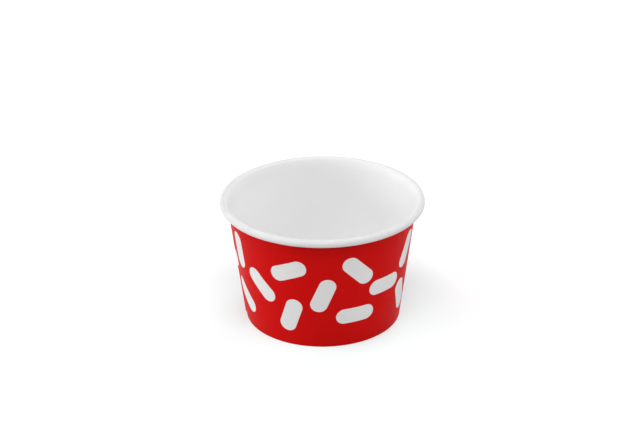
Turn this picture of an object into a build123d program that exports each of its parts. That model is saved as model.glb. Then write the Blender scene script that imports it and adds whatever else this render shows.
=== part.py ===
from build123d import *
import math
import os

# A paper ice cream cup for one scoop, made of two pieces of coated board: a side wall, rolled
# out at the top and turned in at the foot, and a base disc whose skirt is held in the foot.
# Millimetres. The origin is the centre of the foot on the table, +Z is up, and -Y is the front.

# Overall sizes
rim_diameter = 76.0
cup_height = 47.5
foot_diameter = 58.0

# Boards, and the room left between two that are sealed together
side_board = 0.30
base_board = 0.30
seal_gap = 0.02

# Rolled rim: a wide turn, then a tighter one that tucks the board's edge in against the wall
curl_diameter = 2.9
curl_gap = 0.10
curl_turn_in = 30.0
curl_tail = 120.0

# Bend that leads the wall out to the rim
flare_depth = 0.35
flare_radius = 12.0

# Foot
base_recess = 6.0
base_bend_radius = 0.4
hem_shortfall = 0.6
skirt_clearance = 0.15

# Side seam, on the left
seam_direction = 180.0
lap_width = 5.5
joggle_width = 1.2
lap_clearance = 0.1


# Worked-out sizes of the wall, which leans so that its flare ends on the curl
foot_radius = foot_diameter / 2
curl_radius = curl_diameter / 2
curl_centre = Vector(rim_diameter / 2 - curl_radius, cup_height - curl_radius)
foot_to_curl = curl_centre - Vector(foot_radius, 0)
wall_to_curl = curl_radius + flare_depth
lean_to_curl = 90 - math.degrees(math.atan2(foot_to_curl.Y, foot_to_curl.X))
taper = lean_to_curl - math.degrees(math.asin((wall_to_curl - side_board) / foot_to_curl.length))
taper_sin = math.sin(math.radians(taper))
taper_cos = math.cos(math.radians(taper))
up_wall = 90 - taper
down_wall = up_wall - 180
food_radius = foot_radius - side_board / taper_cos

# Foot: the skirt of the base lies against the wall, and the hem lies inside the skirt
skirt_radius = food_radius - seal_gap / taper_cos
hem_radius = skirt_radius - (base_board + seal_gap) / taper_cos
hem_top = base_recess - hem_shortfall
skirt_bottom = side_board + skirt_clearance
disc_top = base_recess + base_board
foot_width = food_radius - hem_radius

# Places along the wall, measured up its slope from the table
wall_start = side_board / taper_cos
curl_level = (curl_centre.X - food_radius) * taper_sin + curl_centre.Y * taper_cos
flare_rise = math.sqrt(flare_depth * (2 * flare_radius - curl_radius - wall_to_curl))
flare_turn = math.degrees(math.atan2(flare_rise, flare_radius - wall_to_curl))
flare_start = curl_level - flare_rise

# Rolled rim
curl_turn = 180 - taper - flare_turn + curl_turn_in
tail_radius = curl_radius - (side_board + curl_gap) / (1 + math.cos(math.radians(curl_turn_in)))

# Side seam
lap_high = cup_height - curl_diameter - lap_clearance
lap_angle = math.degrees(lap_width / foot_radius)
joggle_angle = math.degrees(joggle_width / foot_radius)
lap_start = seam_direction - lap_angle / 2
lap_end = lap_start + lap_angle
joggle_end = lap_end + joggle_angle


def on_slope(radius, up_slope, out=0):
    """A point of a line at the slope of the wall, which meets the table at a radius."""
    return Vector(radius + up_slope * taper_sin + out * taper_cos, up_slope * taper_cos - out * taper_sin)


def wall_line(depth):
    """The straight wall and its flare, at a depth from the food side of the board."""
    straight = PolarLine(on_slope(food_radius, wall_start, depth), flare_start - wall_start, up_wall)
    flare = JernArc(straight @ 1, straight % 1, flare_radius - depth, -flare_turn)
    return [straight, flare]


def fold(before, depth, turn):
    """A sharp fold: an arc on the print side, and only a crease on the food side."""
    return [JernArc(before @ 1, before % 1, depth, turn)] if depth else []


def side_wall_line(depth):
    """The side wall from the edge of its hem, round the foot and up to the end of the curl."""
    hem_end = on_slope(hem_radius, hem_top / taper_cos, -depth)
    hem = PolarLine(hem_end, (hem_top - side_board) / taper_cos, down_wall)
    foot = PolarLine(on_slope(hem_radius, wall_start) - Vector(0, depth), foot_width, 0)
    straight, flare = wall_line(depth)
    curl = JernArc(flare @ 1, flare % 1, curl_radius - depth, -curl_turn)
    tail = JernArc(curl @ 1, curl % 1, tail_radius - depth, -curl_tail)
    hem_fold, wall_fold = fold(hem, depth, -down_wall), fold(foot, depth, up_wall)
    return [hem] + hem_fold + [foot] + wall_fold + [straight, flare, curl, tail]


def bottom_disc_line(depth):
    """The base from the middle of its disc to the edge of its skirt."""
    corner = on_slope(skirt_radius, disc_top / taper_cos)
    bend_radius = base_bend_radius + base_board
    bend_reach = bend_radius * math.tan(math.radians(-down_wall / 2))
    skirt_length = (disc_top - skirt_bottom) / taper_cos - bend_reach
    disc = PolarLine((0, disc_top - depth), corner.X - bend_reach, 0)
    bend = JernArc(disc @ 1, disc % 1, bend_radius - depth, down_wall)
    skirt = PolarLine(bend @ 1, skirt_length, down_wall)
    return [disc, bend, skirt]


def board(line, near, far):
    """The half-section of what lies between two depths of a board."""
    inner, outer = line(near), line(far)
    ends = [Line(inner[0] @ 0, outer[0] @ 0), Line(inner[-1] @ 1, outer[-1] @ 1)]
    return Plane.XZ * make_face(inner + outer + ends)


def zone(low, high):
    """The half-section of everything between two heights."""
    return Plane.XZ * Pos(rim_diameter / 2, (low + high) / 2) * Rectangle(rim_diameter, high - low)


def joggle(raised_near, settled_near, low, high):
    """The step where the lap's outer ply comes in to the wall, past the edge of the inner ply."""
    raised = board(wall_line, raised_near, 2 * side_board) & zone(low, high)
    settled = board(wall_line, settled_near, side_board) & zone(low, high)
    return loft([raised.rotate(Axis.Z, lap_end), settled.rotate(Axis.Z, joggle_end)], ruled=True)


def side_wall():
    """The side wall, whose ends lap over each other from the foot to just below the rim.

    Above the base, the outer ply steps in past the inner ply's edge and leaves a groove on the
    food side. Beside the base, the board behind the step is filled up, so that the skirt fits.
    """
    wall = revolve(board(side_wall_line, 0, side_board))
    groove = zone(disc_top, lap_high).rotate(Axis.Z, lap_end)
    lap = board(wall_line, side_board, 2 * side_board) & zone(side_board, lap_high)
    wall -= revolve(groove, revolution_arc=joggle_angle)
    wall += revolve(lap.rotate(Axis.Z, lap_start), revolution_arc=lap_angle)
    wall += joggle(side_board, 0, disc_top, lap_high)
    wall += joggle(side_board / 2, side_board / 2, side_board, disc_top)
    return wall


def bottom_disc():
    """The base, a disc with a skirt turned down all round."""
    return revolve(board(bottom_disc_line, 0, base_board))


os.makedirs("parts", exist_ok=True)
export_step(side_wall(), "parts/side_wall.step")
export_step(bottom_disc(), "parts/bottom_disc.step")
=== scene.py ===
"""A paper ice cream cup: a printed side wall with a rolled rim, and a base held in its foot."""

import logging
import math
from dataclasses import dataclass, field
from enum import IntEnum

import bmesh
import bpy
from mathutils import Matrix, Vector

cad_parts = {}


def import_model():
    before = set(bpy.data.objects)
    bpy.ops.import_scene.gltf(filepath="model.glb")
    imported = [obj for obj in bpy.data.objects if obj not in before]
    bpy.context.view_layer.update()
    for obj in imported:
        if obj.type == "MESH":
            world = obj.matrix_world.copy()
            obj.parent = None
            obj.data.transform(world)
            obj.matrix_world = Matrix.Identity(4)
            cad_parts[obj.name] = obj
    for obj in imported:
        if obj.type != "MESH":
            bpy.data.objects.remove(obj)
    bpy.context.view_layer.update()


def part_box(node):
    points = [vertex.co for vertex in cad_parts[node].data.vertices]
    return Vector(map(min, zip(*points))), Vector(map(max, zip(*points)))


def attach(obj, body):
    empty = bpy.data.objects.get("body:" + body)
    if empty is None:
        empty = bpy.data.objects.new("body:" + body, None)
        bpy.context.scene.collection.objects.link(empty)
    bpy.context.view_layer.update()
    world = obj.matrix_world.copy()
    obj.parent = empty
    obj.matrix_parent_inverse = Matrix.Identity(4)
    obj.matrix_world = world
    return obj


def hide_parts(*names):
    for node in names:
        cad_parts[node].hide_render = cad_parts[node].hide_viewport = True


LOG = logging.getLogger("paper_cup")
MM = 0.001
BLACK = (0.0, 0.0, 0.0)
WHITE = (1.0, 1.0, 1.0)

# How far inside the middle of the rolled rim the painted shade on the rim starts.
RIM_SHADE_FADE = 1.4 * MM

# Most of a noise lies between these two values.
NOISE_SPAN = (0.3, 0.7)

# The numbers of the Mix node's sockets for colours.
MIX_SHARE, MIX_FIRST, MIX_SECOND, MIX_RESULT = 0, 6, 7, 2

Colour = tuple[float, float, float]


class Side(IntEnum):
    """The faces of a board, by the material slot that each one takes."""

    PRINT = 0
    FOOD = 1
    EDGE = 2


@dataclass(frozen=True)
class CupSizes:
    """Sizes of the cup's two boards, in metres, repeated from its solids.

    The radius of the rim and the height come from the solids themselves. Inside the folds of the
    foot, where the solids have a crease, the board keeps a small bend.
    """

    rim_radius: float
    height: float
    foot_radius: float = 29.0 * MM
    side_board: float = 0.30 * MM
    base_board: float = 0.30 * MM
    seal_gap: float = 0.02 * MM
    curl_radius: float = 1.45 * MM
    curl_gap: float = 0.10 * MM
    curl_turn_in: float = math.radians(30.0)
    curl_tail: float = math.radians(120.0)
    flare_depth: float = 0.35 * MM
    flare_radius: float = 12.0 * MM
    base_recess: float = 6.0 * MM
    base_bend: float = 0.4 * MM
    foot_fold: float = 0.05 * MM
    hem_shortfall: float = 0.6 * MM
    skirt_clearance: float = 0.15 * MM

    @property
    def curl_centre(self) -> tuple[float, float]:
        """Radius and height of the middle of the rolled rim."""
        return self.rim_radius - self.curl_radius, self.height - self.curl_radius

    @property
    def taper(self) -> float:
        """The angle by which the wall leans outwards."""
        reach, rise = self.curl_centre[0] - self.foot_radius, self.curl_centre[1]
        off_wall = self.curl_radius + self.flare_depth - self.side_board
        return math.atan2(reach, rise) - math.asin(off_wall / math.hypot(reach, rise))

    @property
    def food_radius(self) -> float:
        """Radius at which the food side of the wall would meet the table."""
        return self.foot_radius - self.side_board / math.cos(self.taper)

    @property
    def skirt_radius(self) -> float:
        """Radius at which the outside of the base's skirt would meet the table."""
        return self.food_radius - self.seal_gap / math.cos(self.taper)

    @property
    def hem_radius(self) -> float:
        """Radius at which the hem's food side, next to the skirt, would meet the table."""
        return self.skirt_radius - (self.base_board + self.seal_gap) / math.cos(self.taper)

    @property
    def flare_rise(self) -> float:
        """Length along the wall's slope that the flare takes up."""
        off_wall = self.curl_radius + self.flare_depth
        return math.sqrt(self.flare_depth * (2 * self.flare_radius - self.curl_radius - off_wall))

    @property
    def flare_turn(self) -> float:
        """The angle through which the flare turns."""
        off_wall = self.curl_radius + self.flare_depth
        return math.atan2(self.flare_rise, self.flare_radius - off_wall)

    @property
    def flare_start(self) -> float:
        """Distance up the wall's slope, from the table, at which the flare starts."""
        reach = (self.curl_centre[0] - self.food_radius) * math.sin(self.taper)
        return reach + self.curl_centre[1] * math.cos(self.taper) - self.flare_rise

    @property
    def tail_radius(self) -> float:
        """Radius of the tighter turn at the end of the curl."""
        tuck = (self.side_board + self.curl_gap) / (1 + math.cos(self.curl_turn_in))
        return self.curl_radius - tuck


@dataclass(frozen=True)
class SeamSizes:
    """The lapped side seam: where it is, in radians round the cup, and how the plies lie.

    The outer ply rises over the inner one between two distances up from the foot, and sinks again
    between two distances down from the curl. The inner ply's tab is cut off below a share of the rise.
    """

    direction: float = math.radians(180.0)
    lap: float = math.radians(11.0)
    joggle: float = math.radians(2.0)
    fade_low: tuple[float, float] = (0.3 * MM, 1.5 * MM)
    fade_high: tuple[float, float] = (2.2 * MM, 0.3 * MM)
    ply_gap: float = 0.01 * MM
    tab_from_share: float = 0.02
    rim_lump: float = 0.07 * MM
    rim_lump_fade: float = 1.2 * MM

    @property
    def start(self) -> float:
        """The direction of the outer ply's edge."""
        return self.direction - self.lap / 2


def smooth_ramp(value: float, low: float, high: float) -> float:
    """A smooth step.

    Args:
        value: Where on the ramp.
        low: Where the step starts.
        high: Where the step ends; it may be below low.

    Returns:
        0 before low, 1 past high, and a smooth curve between them.
    """
    share = min(max((value - low) / (high - low), 0.0), 1.0)
    return share * share * (3 - 2 * share)


class BoardWalker:
    """Draws a board's half-section as a chain of edges, walking along its food side."""

    def __init__(self, start: tuple[float, float], heading: float) -> None:
        """Puts the first point down.

        Args:
            start: Radius and height of the board's first edge.
            heading: The direction of the first step, from outwards towards up.
        """
        self.mesh = bmesh.new()
        self.along = self.mesh.verts.layers.float.new("along")
        self.tip = bmesh.ops.create_vert(self.mesh, co=(start[0], 0, start[1]))["vert"][0]
        self.heading = heading
        self.walked = 0.0

    def _step(self, length: float) -> bmesh.types.BMVert:
        """Extrudes the tip into a new point, which still has to be moved.

        Args:
            length: How far along the board the new point is from the tip.

        Returns:
            The new point.
        """
        self.tip = bmesh.ops.extrude_vert_indiv(self.mesh, verts=[self.tip])["verts"][0]
        self.walked += length
        self.tip[self.along] = self.walked
        return self.tip

    def run(self, length: float, steps: int = 1) -> None:
        """Walks straight on.

        Args:
            length: Length of the run.
            steps: Number of edges that it is made of.
        """
        step = Vector((math.cos(self.heading), 0, math.sin(self.heading))) * (length / steps)
        for _ in range(steps):
            bmesh.ops.translate(self.mesh, verts=[self._step(length / steps)], vec=step)

    def turn(self, radius: float, angle: float, steps: int) -> None:
        """Walks round an arc.

        Args:
            radius: Radius of the arc.
            angle: How far the heading turns, to the left if it is above 0.
            steps: Number of edges that the arc is made of.
        """
        left = Vector((-math.sin(self.heading), 0, math.cos(self.heading)))
        centre = self.tip.co + left * math.copysign(radius, angle)
        step = Matrix.Rotation(-angle / steps, 3, "Y")
        for _ in range(steps):
            point = self._step(radius * abs(angle) / steps)
            bmesh.ops.rotate(self.mesh, verts=[point], cent=centre, matrix=step)
        self.heading += angle

    def spin(self, angle: float, steps: int, whole: bool = False) -> None:
        """Winds the section, or the last column wound, round the cup's axis.

        Args:
            angle: How far it is wound.
            steps: Number of columns of faces.
            whole: Whether the last column closes on the first.
        """
        front = self.front() if self.mesh.faces else self.mesh.verts[:] + self.mesh.edges[:]
        wound = bmesh.ops.spin(
            self.mesh, geom=front, cent=(0, 0, 0), axis=(0, 0, 1), dvec=(0, 0, 0),
            angle=angle, steps=steps, use_merge=whole, use_duplicate=False,
        )
        self.last_column = wound["geom_last"]

    def front(self) -> list:
        """The edges and points of the last column wound."""
        return [item for item in self.last_column if not isinstance(item, bmesh.types.BMFace)]


class BoardPiece:
    """A piece of board: a sheet wound in bmesh, given its thickness and its three finishes."""

    def __init__(self, name: str, thickness: float, smooth_below: float) -> None:
        """Names the piece.

        Args:
            name: The name of the piece's object.
            thickness: Thickness of the board.
            smooth_below: The angle below which two faces are shaded as one surface.
        """
        self.name = name
        self.thickness = thickness
        self.smooth_below = smooth_below

    def thicken(self, sheet: bmesh.types.BMesh, finishes: list[bpy.types.Material]) -> bpy.types.Object:
        """Makes the piece of a sheet whose normals point to its print side.

        Args:
            sheet: The food side of the board, which is freed here.
            finishes: The materials, in the order of Side.

        Returns:
            The piece, with its thickness in its mesh.
        """
        mesh = bpy.data.meshes.new(self.name)
        sheet.to_mesh(mesh)
        sheet.free()
        piece = bpy.data.objects.new(self.name, mesh)
        bpy.context.scene.collection.objects.link(piece)
        for finish in finishes:
            mesh.materials.append(finish)
        board = piece.modifiers.new("board", "SOLIDIFY")
        board.thickness = self.thickness
        board.offset = 1.0
        board.use_even_offset = True
        board.use_quality_normals = True
        board.material_offset = Side.FOOD
        board.material_offset_rim = Side.EDGE
        made = bpy.data.meshes.new_from_object(piece.evaluated_get(bpy.context.evaluated_depsgraph_get()))
        piece.modifiers.clear()
        piece.data = made
        made.name = self.name
        bpy.data.meshes.remove(mesh)
        made.shade_smooth()
        made.set_sharp_from_angle(angle=self.smooth_below)
        return piece


@dataclass(frozen=True)
class WallSteps:
    """How many edges each part of the side wall's section has.

    The lap of the seam has a number of columns to a degree, and the rest of the wall has one.
    """

    hem: int = 8
    hem_fold: int = 6
    wall_fold: int = 5
    low_wall: int = 8
    wall: int = 16
    flare: int = 10
    curl: int = 26
    tail: int = 10
    lap_columns: int = 2


@dataclass
class SideWall:
    """The side wall: a printed blank wound into a cone, lapped, rolled at the top and hemmed.

    The waver of the rim is a sum of waves, each with its height, its number round the rim and its
    start.
    """

    sizes: CupSizes
    seam: SeamSizes = field(default_factory=SeamSizes)
    steps: WallSteps = field(default_factory=WallSteps)
    low_wall: float = 2.4 * MM
    crimps: int = 90
    crimp_depth: float = 0.07 * MM
    crimp_fade: tuple[float, float] = (4.9 * MM, 3.6 * MM)
    rim_wave: float = 0.03 * MM
    rim_waver: tuple[tuple[float, int, float], ...] = ((1.0, 3, 0.8), (0.6, 5, 2.1))
    middle_of_wall: tuple[float, float] = (0.4, 0.6)
    smooth_below: float = math.radians(35)
    wall_from: float = field(init=False, default=0.0)
    flare_from: float = field(init=False, default=0.0)
    curl_from: float = field(init=False, default=0.0)

    def _slope_point(self, radius: float, up_slope: float) -> tuple[float, float]:
        """A point of the line at the wall's slope that meets the table at a radius."""
        taper = self.sizes.taper
        return radius + up_slope * math.sin(taper), up_slope * math.cos(taper)

    def section(self) -> BoardWalker:
        """Draws the section, and notes where along the board the wall's parts start.

        Returns:
            The walker, at the end of the curl.
        """
        s, steps = self.sizes, self.steps
        up_wall = math.pi / 2 - s.taper
        hem_top = (s.base_recess - s.hem_shortfall) / math.cos(s.taper)
        hem_fold = s.foot_fold * math.tan((math.pi - up_wall) / 2)
        wall_fold = s.foot_fold * math.tan(up_wall / 2)
        foot_level = s.side_board / math.cos(s.taper)

        walker = BoardWalker(self._slope_point(s.hem_radius, hem_top), up_wall - math.pi)
        walker.run(hem_top - foot_level - hem_fold, steps.hem)
        walker.turn(s.foot_fold, math.pi - up_wall, steps.hem_fold)
        walker.run(s.food_radius - s.hem_radius - hem_fold - wall_fold)
        walker.turn(s.foot_fold, up_wall, steps.wall_fold)
        self.wall_from = walker.walked
        walker.run(self.low_wall, steps.low_wall)
        walker.run(s.flare_start - foot_level - wall_fold - self.low_wall, steps.wall)
        self.flare_from = walker.walked
        walker.turn(s.flare_radius, -s.flare_turn, steps.flare)
        self.curl_from = walker.walked
        walker.turn(s.curl_radius, s.taper + s.flare_turn - math.pi - s.curl_turn_in, steps.curl)
        walker.turn(s.tail_radius, -s.curl_tail, steps.tail)
        return walker

    def raised(self, along: float) -> float:
        """How far the outer ply lies over the inner ply.

        Args:
            along: Distance along the board from the edge of the hem.

        Returns:
            0 at the foot and in the curl, and 1 on the wall between them.
        """
        low, high = self.seam.fade_low, self.seam.fade_high
        at_foot = smooth_ramp(along, self.wall_from + low[0], self.wall_from + low[1])
        return at_foot * smooth_ramp(along, self.curl_from - high[1], self.curl_from - high[0])

    def lay_over(self, walker: BoardWalker) -> None:
        """Lifts the outer ply over the inner one, and steps it in past the inner ply's edge.

        The rolled rim, which holds both plies pressed together, is only a little thicker there.

        Args:
            walker: The walker, with only the outer ply wound.
        """
        lift = self.sizes.side_board + self.seam.ply_gap
        taper = self.sizes.taper
        ring, level = self.sizes.curl_centre
        for point in walker.mesh.verts:
            turned = (math.atan2(point.co.y, point.co.x) - self.seam.start) % (2 * math.pi)
            if turned > math.pi:
                turned = 0.0
            settled = 1 - smooth_ramp(turned, self.seam.lap, self.seam.lap + self.seam.joggle)
            outwards = point.co.xy.normalized()
            off_wall = Vector((*(outwards * math.cos(taper)), -math.sin(taper)))
            off_ring = (point.co - Vector((*(outwards * ring), level))).normalized()
            along = point[walker.along]
            rolled = smooth_ramp(along, self.curl_from, self.curl_from + self.seam.rim_lump_fade)
            point.co += off_wall * (lift * settled * self.raised(along))
            point.co += off_ring * (self.seam.rim_lump * settled * rolled)

    def wind(self) -> bmesh.types.BMesh:
        """Winds the section round the cup, from the outer ply's edge to the inner ply's edge.

        Returns:
            The food side of the wall, with its normals towards the print side.
        """
        walker = self.section()
        mesh, seam = walker.mesh, self.seam
        bmesh.ops.rotate(mesh, verts=mesh.verts, cent=(0, 0, 0), matrix=Matrix.Rotation(seam.start, 3, "Z"))
        stepped = seam.lap + seam.joggle
        walker.spin(stepped, round(math.degrees(stepped)) * self.steps.lap_columns)
        self.lay_over(walker)
        rest = 2 * math.pi - stepped
        walker.spin(rest, round(math.degrees(rest)))
        wound = set(mesh.faces)
        walker.spin(seam.lap, round(math.degrees(seam.lap)))
        cut_off = []
        for face in mesh.faces:
            along = sum(point[walker.along] for point in face.verts) / len(face.verts)
            if face not in wound and self.raised(along) < seam.tab_from_share:
                cut_off.append(face)
        bmesh.ops.delete(mesh, geom=cut_off, context="FACES")
        self.crimp(walker)
        self.face_print_side(mesh)
        return mesh

    def crimp(self, walker: BoardWalker) -> None:
        """Presses upright ridges into the hem, and lets the rim run a little uneven.

        Args:
            walker: The walker, with the whole wall wound.
        """
        highest = sum(height for height, _, _ in self.rim_waver)
        for point in walker.mesh.verts:
            along = point[walker.along]
            turn = math.atan2(point.co.y, point.co.x)
            out = Vector((math.cos(turn), math.sin(turn), 0))
            pressed = smooth_ramp(along, *self.crimp_fade)
            wave = (math.cos(self.crimps * turn) - 1) / 2
            rolled = smooth_ramp(along, self.flare_from, self.curl_from)
            uneven = sum(height * math.sin(waves * turn + start) for height, waves, start in self.rim_waver)
            point.co += out * (pressed * wave * self.crimp_depth)
            point.co.z -= rolled * (highest + uneven) * self.rim_wave / (2 * highest)

    def face_print_side(self, mesh: bmesh.types.BMesh) -> None:
        """Turns the sheet's faces to the print side, going by the faces in the middle of the wall.

        Args:
            mesh: The wound sheet.
        """
        mesh.normal_update()
        low, high = self.middle_of_wall
        facing = 0.0
        for face in mesh.faces:
            centre = face.calc_center_median()
            if low < centre.z / self.sizes.height < high:
                facing += face.normal.xy.dot(centre.xy)
        if facing < 0:
            bmesh.ops.reverse_faces(mesh, faces=mesh.faces[:])

    def build(self, finishes: list[bpy.types.Material]) -> bpy.types.Object:
        """Makes the side wall.

        Args:
            finishes: The materials, in the order of Side.

        Returns:
            The finished piece.
        """
        piece = BoardPiece("printed_side_wall", self.sizes.side_board, self.smooth_below)
        return piece.thicken(self.wind(), finishes)


@dataclass(frozen=True)
class DiscSteps:
    """How many edges each part of the base's section has, and how many columns go round."""

    middle: int = 12
    ring: int = 8
    bend: int = 8
    skirt: int = 5
    columns: int = 288


@dataclass
class BaseDisc:
    """The base: a disc with its edge drawn down into a skirt.

    The outer ring of the disc has shorter faces. The puckers start a little inside the bend and end
    a little way down the skirt.
    """

    sizes: CupSizes
    steps: DiscSteps = field(default_factory=DiscSteps)
    ring: float = 4.0 * MM
    dish: float = 0.12 * MM
    puckers: int = 72
    pucker_depth: float = 0.02 * MM
    pucker_inwards: float = 3.0 * MM
    pucker_down: float = 1.5 * MM
    merge_within: float = 1e-7
    smooth_below: float = math.radians(40)

    def wind(self) -> bmesh.types.BMesh:
        """Winds the base's section all round, closes it in the middle, and dishes it.

        Returns:
            The food side of the base, with its normals towards the underside.
        """
        s = self.sizes
        disc_top = s.base_recess + s.base_board
        down_wall = -math.pi / 2 - s.taper
        bend = s.base_bend + s.base_board
        reach = bend * math.tan(-down_wall / 2)
        corner = s.skirt_radius + disc_top * math.tan(s.taper)
        skirt = (disc_top - s.side_board - s.skirt_clearance) / math.cos(s.taper) - reach
        flat = corner - reach

        walker = BoardWalker((0, disc_top), 0)
        walker.run(flat - self.ring, self.steps.middle)
        walker.run(self.ring, self.steps.ring)
        walker.turn(bend, down_wall, self.steps.bend)
        walker.run(skirt, self.steps.skirt)
        walker.spin(2 * math.pi, self.steps.columns, whole=True)
        mesh = walker.mesh
        bmesh.ops.remove_doubles(mesh, verts=mesh.verts, dist=self.merge_within)
        for point in mesh.verts:
            radius = point.co.xy.length
            turn = math.atan2(point.co.y, point.co.x)
            sag = 1 - smooth_ramp(radius, 0, flat)
            drawn = smooth_ramp(radius, flat - self.pucker_inwards, flat)
            drawn *= 1 - smooth_ramp(disc_top - point.co.z, 0, self.pucker_down)
            point.co.z -= self.dish * sag
            point.co.z -= self.pucker_depth * drawn * (1 - math.cos(self.puckers * turn)) / 2
        bmesh.ops.recalc_face_normals(mesh, faces=mesh.faces)
        mesh.normal_update()
        if max(mesh.faces, key=lambda face: face.calc_center_median().z).normal.z > 0:
            bmesh.ops.reverse_faces(mesh, faces=mesh.faces[:])
        return mesh

    def build(self, finishes: list[bpy.types.Material]) -> bpy.types.Object:
        """Makes the base.

        Args:
            finishes: The materials, in the order of Side.

        Returns:
            The finished piece.
        """
        piece = BoardPiece("plain_base", self.sizes.base_board, self.smooth_below)
        return piece.thicken(self.wind(), finishes)


class Value:
    """A number that comes out of a shader node; Python's operators on it add Math nodes."""

    def __init__(self, tree: "ShaderTree", socket: bpy.types.NodeSocket) -> None:
        """Wraps a socket.

        Args:
            tree: The tree that the socket is in.
            socket: The output socket.
        """
        self.tree = tree
        self.socket = socket

    def math(self, operation: str, *others: "Value | float") -> "Value":
        """Adds one Math node.

        Args:
            operation: The node's operation.
            others: The values that follow this one.

        Returns:
            The node's result.
        """
        return self.tree.math(operation, self, *others)

    def __add__(self, other: "Value | float") -> "Value":
        """This and another."""
        return self.math("ADD", other)

    __radd__ = __add__

    def __sub__(self, other: "Value | float") -> "Value":
        """This less another."""
        return self.math("SUBTRACT", other)

    def __rsub__(self, other: float) -> "Value":
        """A number less this."""
        return self.tree.math("SUBTRACT", other, self)

    def __mul__(self, other: "Value | float") -> "Value":
        """This times another."""
        return self.math("MULTIPLY", other)

    __rmul__ = __mul__

    def ramp(self, low: float, high: float) -> "Value":
        """A straight ramp that is 0 at low and 1 at high, and level outside them."""
        return self.tree.node(
            "ShaderNodeMapRange", {"clamp": True},
            {"Value": self, "From Min": low, "From Max": high, "To Min": 0.0, "To Max": 1.0},
        )


class ShaderTree:
    """The nodes of one material or of the world."""

    def __init__(self, owner: bpy.types.Material | bpy.types.World) -> None:
        """Empties the owner's node tree.

        Args:
            owner: The material or world.
        """
        owner.use_nodes = True
        self.tree = owner.node_tree
        self.tree.nodes.clear()

    def add(self, kind: str, settings: dict | None = None, inputs: dict | None = None) -> bpy.types.Node:
        """Adds a node.

        Args:
            kind: The node's type.
            settings: Its settings, which are set first.
            inputs: The values or links of its sockets, by name or number.

        Returns:
            The node.
        """
        node = self.tree.nodes.new(kind)
        for name, value in (settings or {}).items():
            setattr(node, name, value)
        for name, value in (inputs or {}).items():
            value = value.socket if isinstance(value, Value) else value
            if isinstance(value, bpy.types.NodeSocket):
                self.tree.links.new(value, node.inputs[name])
            else:
                node.inputs[name].default_value = value
        return node

    def node(self, kind: str, settings: dict | None = None, inputs: dict | None = None,
             output: str | int = 0) -> Value:
        """Adds a node and gives one of its outputs.

        Args:
            kind: The node's type.
            settings: Its settings, which are set first.
            inputs: The values or links of its sockets, by name or number.
            output: The name or number of the output.

        Returns:
            The output.
        """
        return Value(self, self.add(kind, settings, inputs).outputs[output])

    def math(self, operation: str, *terms: Value | float) -> Value:
        """Adds a Math node.

        Args:
            operation: The node's operation.
            terms: Its values, in order.

        Returns:
            The result.
        """
        return self.node("ShaderNodeMath", {"operation": operation}, dict(enumerate(terms)))

    def place(self) -> Value:
        """The place of a point on the object, in metres."""
        return self.node("ShaderNodeTexCoord", output="Object")

    def shown(self) -> Value:
        """1 for what the camera, a reflection or a clear material shows, and 0 for what only lights."""
        rays = self.add("ShaderNodeLightPath").outputs
        seen = Value(self, rays["Is Camera Ray"]).math("MAXIMUM", Value(self, rays["Is Glossy Ray"]))
        return seen.math("MAXIMUM", Value(self, rays["Is Transmission Ray"]))

    def split(self, vector: Value) -> tuple[Value, Value, Value]:
        """The three parts of a vector."""
        parts = self.add("ShaderNodeSeparateXYZ", inputs={"Vector": vector}).outputs
        return Value(self, parts[0]), Value(self, parts[1]), Value(self, parts[2])

    def noise(self, place: Value, size: float, detail: float, roughness: float) -> Value:
        """Cloudy noise.

        Args:
            place: Where it is read.
            size: Size of its largest spots, in metres.
            detail: How many finer layers it has.
            roughness: How strong the finer layers are.

        Returns:
            The noise, from 0 to 1 and mostly near 0.5.
        """
        return self.node("ShaderNodeTexNoise", {"noise_dimensions": "3D"}, {
            "Vector": place, "Scale": 1 / size, "Detail": detail, "Roughness": roughness,
        })

    def mix(self, share: Value | float, first: "Value | Colour", second: "Value | Colour") -> Value:
        """A mix of two colours.

        Args:
            share: The second colour's share.
            first: The first colour.
            second: The second colour.

        Returns:
            The mixed colour.
        """
        first = (*first, 1.0) if isinstance(first, tuple) else first
        second = (*second, 1.0) if isinstance(second, tuple) else second
        inputs = {MIX_SHARE: share, MIX_FIRST: first, MIX_SECOND: second}
        return self.node("ShaderNodeMix", {"data_type": "RGBA"}, inputs, MIX_RESULT)

    def bump(self, height: Value, depth: float, under: Value | None = None) -> Value:
        """A bumped normal.

        Args:
            height: The height, from 0 to 1.
            depth: What a height of 1 stands for, in metres.
            under: The normal that this one is laid over.

        Returns:
            The normal.
        """
        inputs = {"Height": height, "Strength": 1.0, "Distance": depth}
        if under is not None:
            inputs["Normal"] = under
        return self.node("ShaderNodeBump", None, inputs, output="Normal")

    def patchy(self, place: Value, size: float, low: float, high: float) -> Value:
        """A roughness that changes from patch to patch.

        Args:
            place: Where it is read.
            size: Size of the patches, in metres.
            low: The lowest roughness.
            high: The highest roughness.

        Returns:
            The roughness.
        """
        return self.noise(place, size, 4.0, 0.6).ramp(*NOISE_SPAN) * (high - low) + low

    def surface(self, **inputs: Value | float) -> None:
        """Ends the material in a Principled BSDF.

        Args:
            inputs: Its sockets, with an underscore for each space in a name.
        """
        named = {name.replace("_", " "): value for name, value in inputs.items()}
        self.end(self.node("ShaderNodeBsdfPrincipled", None, named))

    def end(self, shader: Value, kind: str = "ShaderNodeOutputMaterial") -> None:
        """Joins the last shader to the output."""
        self.add(kind, None, {"Surface": shader})


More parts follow.
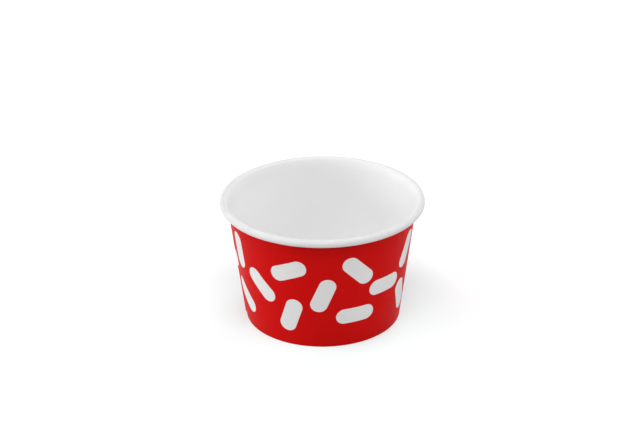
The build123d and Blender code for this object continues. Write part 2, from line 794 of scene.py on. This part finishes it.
@dataclass(frozen=True)
class BoardGrain:
    """What the surface of a board shows from close up."""

    fibre: float = 0.55 * MM
    fibre_depth: float = 0.006 * MM
    pit: float = 0.14 * MM
    pit_depth: float = 0.0025 * MM
    cloud: float = 9.0 * MM
    speck: float = 0.88 * MM
    cloud_share: float = 0.6
    shade: float = 0.03

    def normal(self, tree: ShaderTree, place: Value) -> Value:
        """The normal of a board whose fibres show through its coating.

        Args:
            tree: The material's nodes.
            place: The place on the object.

        Returns:
            The normal.
        """
        fibres = tree.noise(place, self.fibre, 3.0, 0.55)
        pits = tree.noise(place, self.pit, 1.0, 0.5)
        return tree.bump(pits, self.pit_depth, tree.bump(fibres, self.fibre_depth))

    def clouding(self, tree: ShaderTree, place: Value) -> Value:
        """How much the board darkens from spot to spot.

        Args:
            tree: The material's nodes.
            place: The place on the object.

        Returns:
            A share, from 0 to the grain's shade.
        """
        wide = tree.noise(place, self.cloud, 3.0, 0.6)
        fine = tree.noise(place, self.speck, 2.0, 0.6)
        return (wide * self.cloud_share + fine * (1 - self.cloud_share)).ramp(*NOISE_SPAN) * self.shade


@dataclass(frozen=True)
class SprinklePrint:
    """Rows of white sprinkles scattered round the wall on a red ground."""

    rows: tuple[float, ...] = (13.2 * MM, 22.7 * MM, 32.2 * MM)
    per_row: int = 8
    length: float = 14.8 * MM
    width: float = 6.4 * MM
    ink_edge: float = 0.05 * MM
    first_angle: float = 0.3
    angle_step: float = 0.618
    row_step: float = 0.37

    def row(self, place: tuple[Value, Value, Value], index: int, taper: float) -> Value:
        """The distance from the sprinkles of one row; every other row is shifted by half a step.

        Args:
            place: The place on the object, split in three.
            index: The row's number, from the lowest.
            taper: The angle by which the wall leans outwards.

        Returns:
            The distance from the edge of the nearest sprinkle, below 0 inside it.
        """
        x, y, z = place
        turn = y.math("ARCTAN2", x) * (self.per_row / (2 * math.pi)) + index % 2 / 2
        cell = turn.math("FLOOR")
        round_wall = (x * x + y * y).math("SQRT") * (turn - cell - 0.5) * (2 * math.pi / self.per_row)
        up_wall = (z - self.rows[index]) * (1 / math.cos(taper))
        number = cell.math("FLOORED_MODULO", float(self.per_row))
        angle = (number * self.angle_step + index * self.row_step + self.first_angle).math("FRACT") * math.pi
        cosine, sine = angle.math("COSINE"), angle.math("SINE")
        along = (round_wall * cosine + up_wall * sine).math("ABSOLUTE") - (self.length - self.width) / 2
        across = up_wall * cosine - round_wall * sine
        past_end = along.math("MAXIMUM", 0.0)
        return (past_end * past_end + across * across).math("SQRT") - self.width / 2

    def unprinted(self, tree: ShaderTree, place: Value, taper: float) -> Value:
        """Where the ink is left out.

        Args:
            tree: The material's nodes.
            place: The place on the object.
            taper: The angle by which the wall leans outwards.

        Returns:
            1 on a sprinkle and 0 on the ground.
        """
        parts = tree.split(place)
        nearest = self.row(parts, 0, taper)
        for index in range(1, len(self.rows)):
            nearest = nearest.math("MINIMUM", self.row(parts, index, taper))
        return nearest.ramp(self.ink_edge, -self.ink_edge)


@dataclass(frozen=True)
class PrintedSide:
    """The outside of the wall: red ink and varnish over white board."""

    ink: Colour = (0.635, 0.0032, 0.0028)
    thin_ink: Colour = (0.685, 0.0060, 0.0054)
    paper: Colour = (0.84, 0.84, 0.835)
    grain: BoardGrain = BoardGrain(fibre_depth=0.005 * MM, pit_depth=0.002 * MM)
    pattern: SprinklePrint = SprinklePrint()
    ink_speck: float = 0.22 * MM
    ink_cover: tuple[float, float] = (0.35, 0.75)
    patch: float = 3.0 * MM
    roughness: tuple[float, float] = (0.42, 0.54)
    gloss: float = 0.035

    def material(self, taper: float) -> bpy.types.Material:
        """Makes the material.

        Args:
            taper: The angle by which the wall leans outwards.

        Returns:
            The material.
        """
        made = bpy.data.materials.new("printed_side")
        tree = ShaderTree(made)
        place = tree.place()
        cover = tree.noise(place, self.ink_speck, 2.0, 0.6).ramp(*self.ink_cover)
        red = tree.mix(cover, self.ink, self.thin_ink)
        colour = tree.mix(self.pattern.unprinted(tree, place, taper), red, self.paper)
        tree.surface(
            Base_Color=tree.mix(self.grain.clouding(tree, place), colour, BLACK),
            Roughness=tree.patchy(place, self.patch, *self.roughness),
            Specular_IOR_Level=self.gloss, Normal=self.grain.normal(tree, place),
        )
        return made


@dataclass(frozen=True)
class PlainSide:
    """White board under a thin coating, as on the food side and the base.

    At the rolled rim the white turns darker from one radius to another, as painted shade on the curl.
    """

    name: str
    rim_shade_from: float
    rim_shade_to: float
    paper: Colour = (0.87, 0.87, 0.87)
    dull: Colour = (0.83, 0.83, 0.825)
    # Painted shade: a darker white for the rolled rim, standing in for the shade that falls on the curl.
    painted_rim_shade: Colour = (0.72, 0.72, 0.72)
    grain: BoardGrain = BoardGrain()
    dullest: float = 0.5
    patch: float = 2.5 * MM
    roughness: tuple[float, float] = (0.42, 0.54)
    gloss: float = 0.04

    def material(self) -> bpy.types.Material:
        """Makes the material."""
        made = bpy.data.materials.new(self.name)
        tree = ShaderTree(made)
        place = tree.place()
        x, y, _ = tree.split(place)
        radius = (x * x + y * y).math("SQRT")
        # Painted shade: the white darkens towards the middle of the rolled rim.
        white = tree.mix(radius.ramp(self.rim_shade_from, self.rim_shade_to), self.paper, self.painted_rim_shade)
        clouded = self.grain.clouding(tree, place) * (self.dullest / self.grain.shade)
        tree.surface(
            Base_Color=tree.mix(clouded, white, self.dull),
            Roughness=tree.patchy(place, self.patch, *self.roughness),
            Specular_IOR_Level=self.gloss, Normal=self.grain.normal(tree, place),
        )
        return made


@dataclass(frozen=True)
class CutEdge:
    """The cut edge of a board, where its layers of fibre show."""

    name: str
    pale: Colour = (0.80, 0.77, 0.70)
    dark: Colour = (0.62, 0.58, 0.50)
    fibre: float = 0.12 * MM
    fibre_depth: float = 0.03 * MM
    roughness: float = 0.75
    rougher: float = 0.2
    gloss: float = 0.25

    def material(self) -> bpy.types.Material:
        """Makes the material."""
        made = bpy.data.materials.new(self.name)
        tree = ShaderTree(made)
        place = tree.place()
        fibres = tree.noise(place, self.fibre, 4.0, 0.7)
        tree.surface(
            Base_Color=tree.mix(fibres.ramp(*NOISE_SPAN), self.pale, self.dark),
            Roughness=fibres * self.rougher + self.roughness,
            Specular_IOR_Level=self.gloss, Normal=tree.bump(fibres, self.fibre_depth),
        )
        return made


@dataclass(frozen=True)
class SoftLamp:
    """A wide lamp, so far away that it lights the whole floor evenly. Its angles are in degrees."""

    name: str
    bearing: float
    elevation: float
    strength: float
    spread: float = 36.0

    def hang(self) -> None:
        """Makes the lamp, turned to the cup."""
        data = bpy.data.lights.new(self.name, "SUN")
        data.energy = self.strength
        data.angle = math.radians(self.spread)
        lamp = bpy.data.objects.new(self.name, data)
        lamp.rotation_euler = (0, math.radians(90 - self.elevation), math.radians(self.bearing))
        bpy.context.scene.collection.objects.link(lamp)


@dataclass
class Studio:
    """The pale floor, the soft light and the camera."""

    lamps: tuple[SoftLamp, ...] = (
        SoftLamp("left", bearing=180, elevation=6, strength=1.73),
        SoftLamp("left_front", bearing=210, elevation=24, strength=0.49),
        SoftLamp("high_left", bearing=180, elevation=62, strength=0.59),
        SoftLamp("high_front", bearing=270, elevation=62, strength=1.55),
        SoftLamp("right_front", bearing=330, elevation=24, strength=0.60),
        SoftLamp("right", bearing=0, elevation=24, strength=0.52),
        SoftLamp("right_back", bearing=60, elevation=44, strength=0.82),
    )
    ambient: float = 0.01
    floor_colour: Colour = (0.675, 0.675, 0.675)
    floor_by_cup: Colour = (0.54, 0.675, 0.675)
    tint_fade: tuple[float, float] = (30.0 * MM, 60.0 * MM)
    floor_glow: float = 0.39
    floor_reach: float = 3.0
    sensor_width: float = 36.0
    focal_pixels: float = 1900.0
    frame_width: int = 640
    pitch: float = math.radians(25.59)
    roll: float = math.radians(0.43)
    camera_place: tuple[float, float, float] = (-0.93 * MM, -637.5 * MM, 345.8 * MM)

    def floor(self) -> None:
        """Lays the floor, which looks white and keeps the cup's shadow.

        Close to the cup it gives back less red, so that the red that the cup throws on it leaves the
        shadow grey, as in the photograph.
        """
        made = bpy.data.materials.new("pale_floor")
        tree = ShaderTree(made)
        x, y, _ = tree.split(tree.place())
        away = (x * x + y * y).math("SQRT").ramp(*self.tint_fade)
        matt = tree.node("ShaderNodeBsdfDiffuse", None, {
            "Color": tree.mix(away, self.floor_by_cup, self.floor_colour),
        })
        glow = tree.node("ShaderNodeEmission", None, {"Strength": tree.shown() * self.floor_glow})
        tree.end(tree.node("ShaderNodeAddShader", None, {0: matt, 1: glow}))
        sheet = bmesh.new()
        bmesh.ops.create_grid(sheet, x_segments=4, y_segments=4, size=self.floor_reach)
        mesh = bpy.data.meshes.new("floor")
        sheet.to_mesh(mesh)
        sheet.free()
        mesh.materials.append(made)
        floor = bpy.data.objects.new("floor", mesh)
        bpy.context.scene.collection.objects.link(floor)

    def world(self) -> None:
        """Sets the white surroundings, which the camera sees as white and the cup as soft light."""
        made = bpy.data.worlds.new("studio")
        tree = ShaderTree(made)
        strength = tree.shown() * (1 - self.ambient) + self.ambient
        white = tree.node("ShaderNodeBackground", None, {"Color": (*WHITE, 1.0), "Strength": strength})
        tree.end(white, "ShaderNodeOutputWorld")
        bpy.context.scene.world = made

    def camera(self) -> None:
        """Sets the camera where the photograph was taken from."""
        data = bpy.data.cameras.new("camera")
        data.sensor_width = self.sensor_width
        data.lens = self.focal_pixels * self.sensor_width / self.frame_width
        data.clip_start = 10.0 * MM
        camera = bpy.data.objects.new("camera", data)
        tilt = Matrix.Rotation(math.pi / 2 - self.pitch, 4, "X") @ Matrix.Rotation(-self.roll, 4, "Z")
        camera.matrix_world = Matrix.Translation(self.camera_place) @ tilt
        bpy.context.scene.collection.objects.link(camera)
        bpy.context.scene.camera = camera

    def build(self) -> None:
        """Sets up the whole studio."""
        self.floor()
        for lamp in self.lamps:
            lamp.hang()
        self.world()
        self.camera()
        bpy.context.scene.view_settings.view_transform = "Standard"


def report(piece: bpy.types.Object) -> None:
    """Logs a piece and how many triangles it has."""
    piece.data.calc_loop_triangles()
    LOG.info("%s: %d triangles", piece.name, len(piece.data.loop_triangles))


def main() -> None:
    """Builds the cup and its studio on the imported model."""
    logging.basicConfig(level=logging.INFO, format="%(name)s: %(message)s")
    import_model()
    low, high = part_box("side_wall")
    sizes = CupSizes(rim_radius=(high.x - low.x) / 2, height=high.z)

    # The radii over which the painted shade on the rim fades in.
    painted_rim_shade = sizes.curl_centre[0] - RIM_SHADE_FADE, sizes.curl_centre[0]
    food_side = PlainSide("food_side", *painted_rim_shade).material()
    cut_edge = CutEdge("cut_edge").material()
    printed_side = PrintedSide().material(sizes.taper)
    wall = SideWall(sizes).build([printed_side, food_side, cut_edge])
    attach(wall, "root")
    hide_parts("side_wall")
    report(wall)

    underside = PlainSide("underside", *painted_rim_shade, dull=(0.78, 0.77, 0.74), roughness=(0.5, 0.62)).material()
    base = BaseDisc(sizes).build([underside, food_side, cut_edge])
    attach(base, "root")
    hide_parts("bottom_disc")
    report(base)

    Studio().build()


if __name__ == "__main__":
    main()
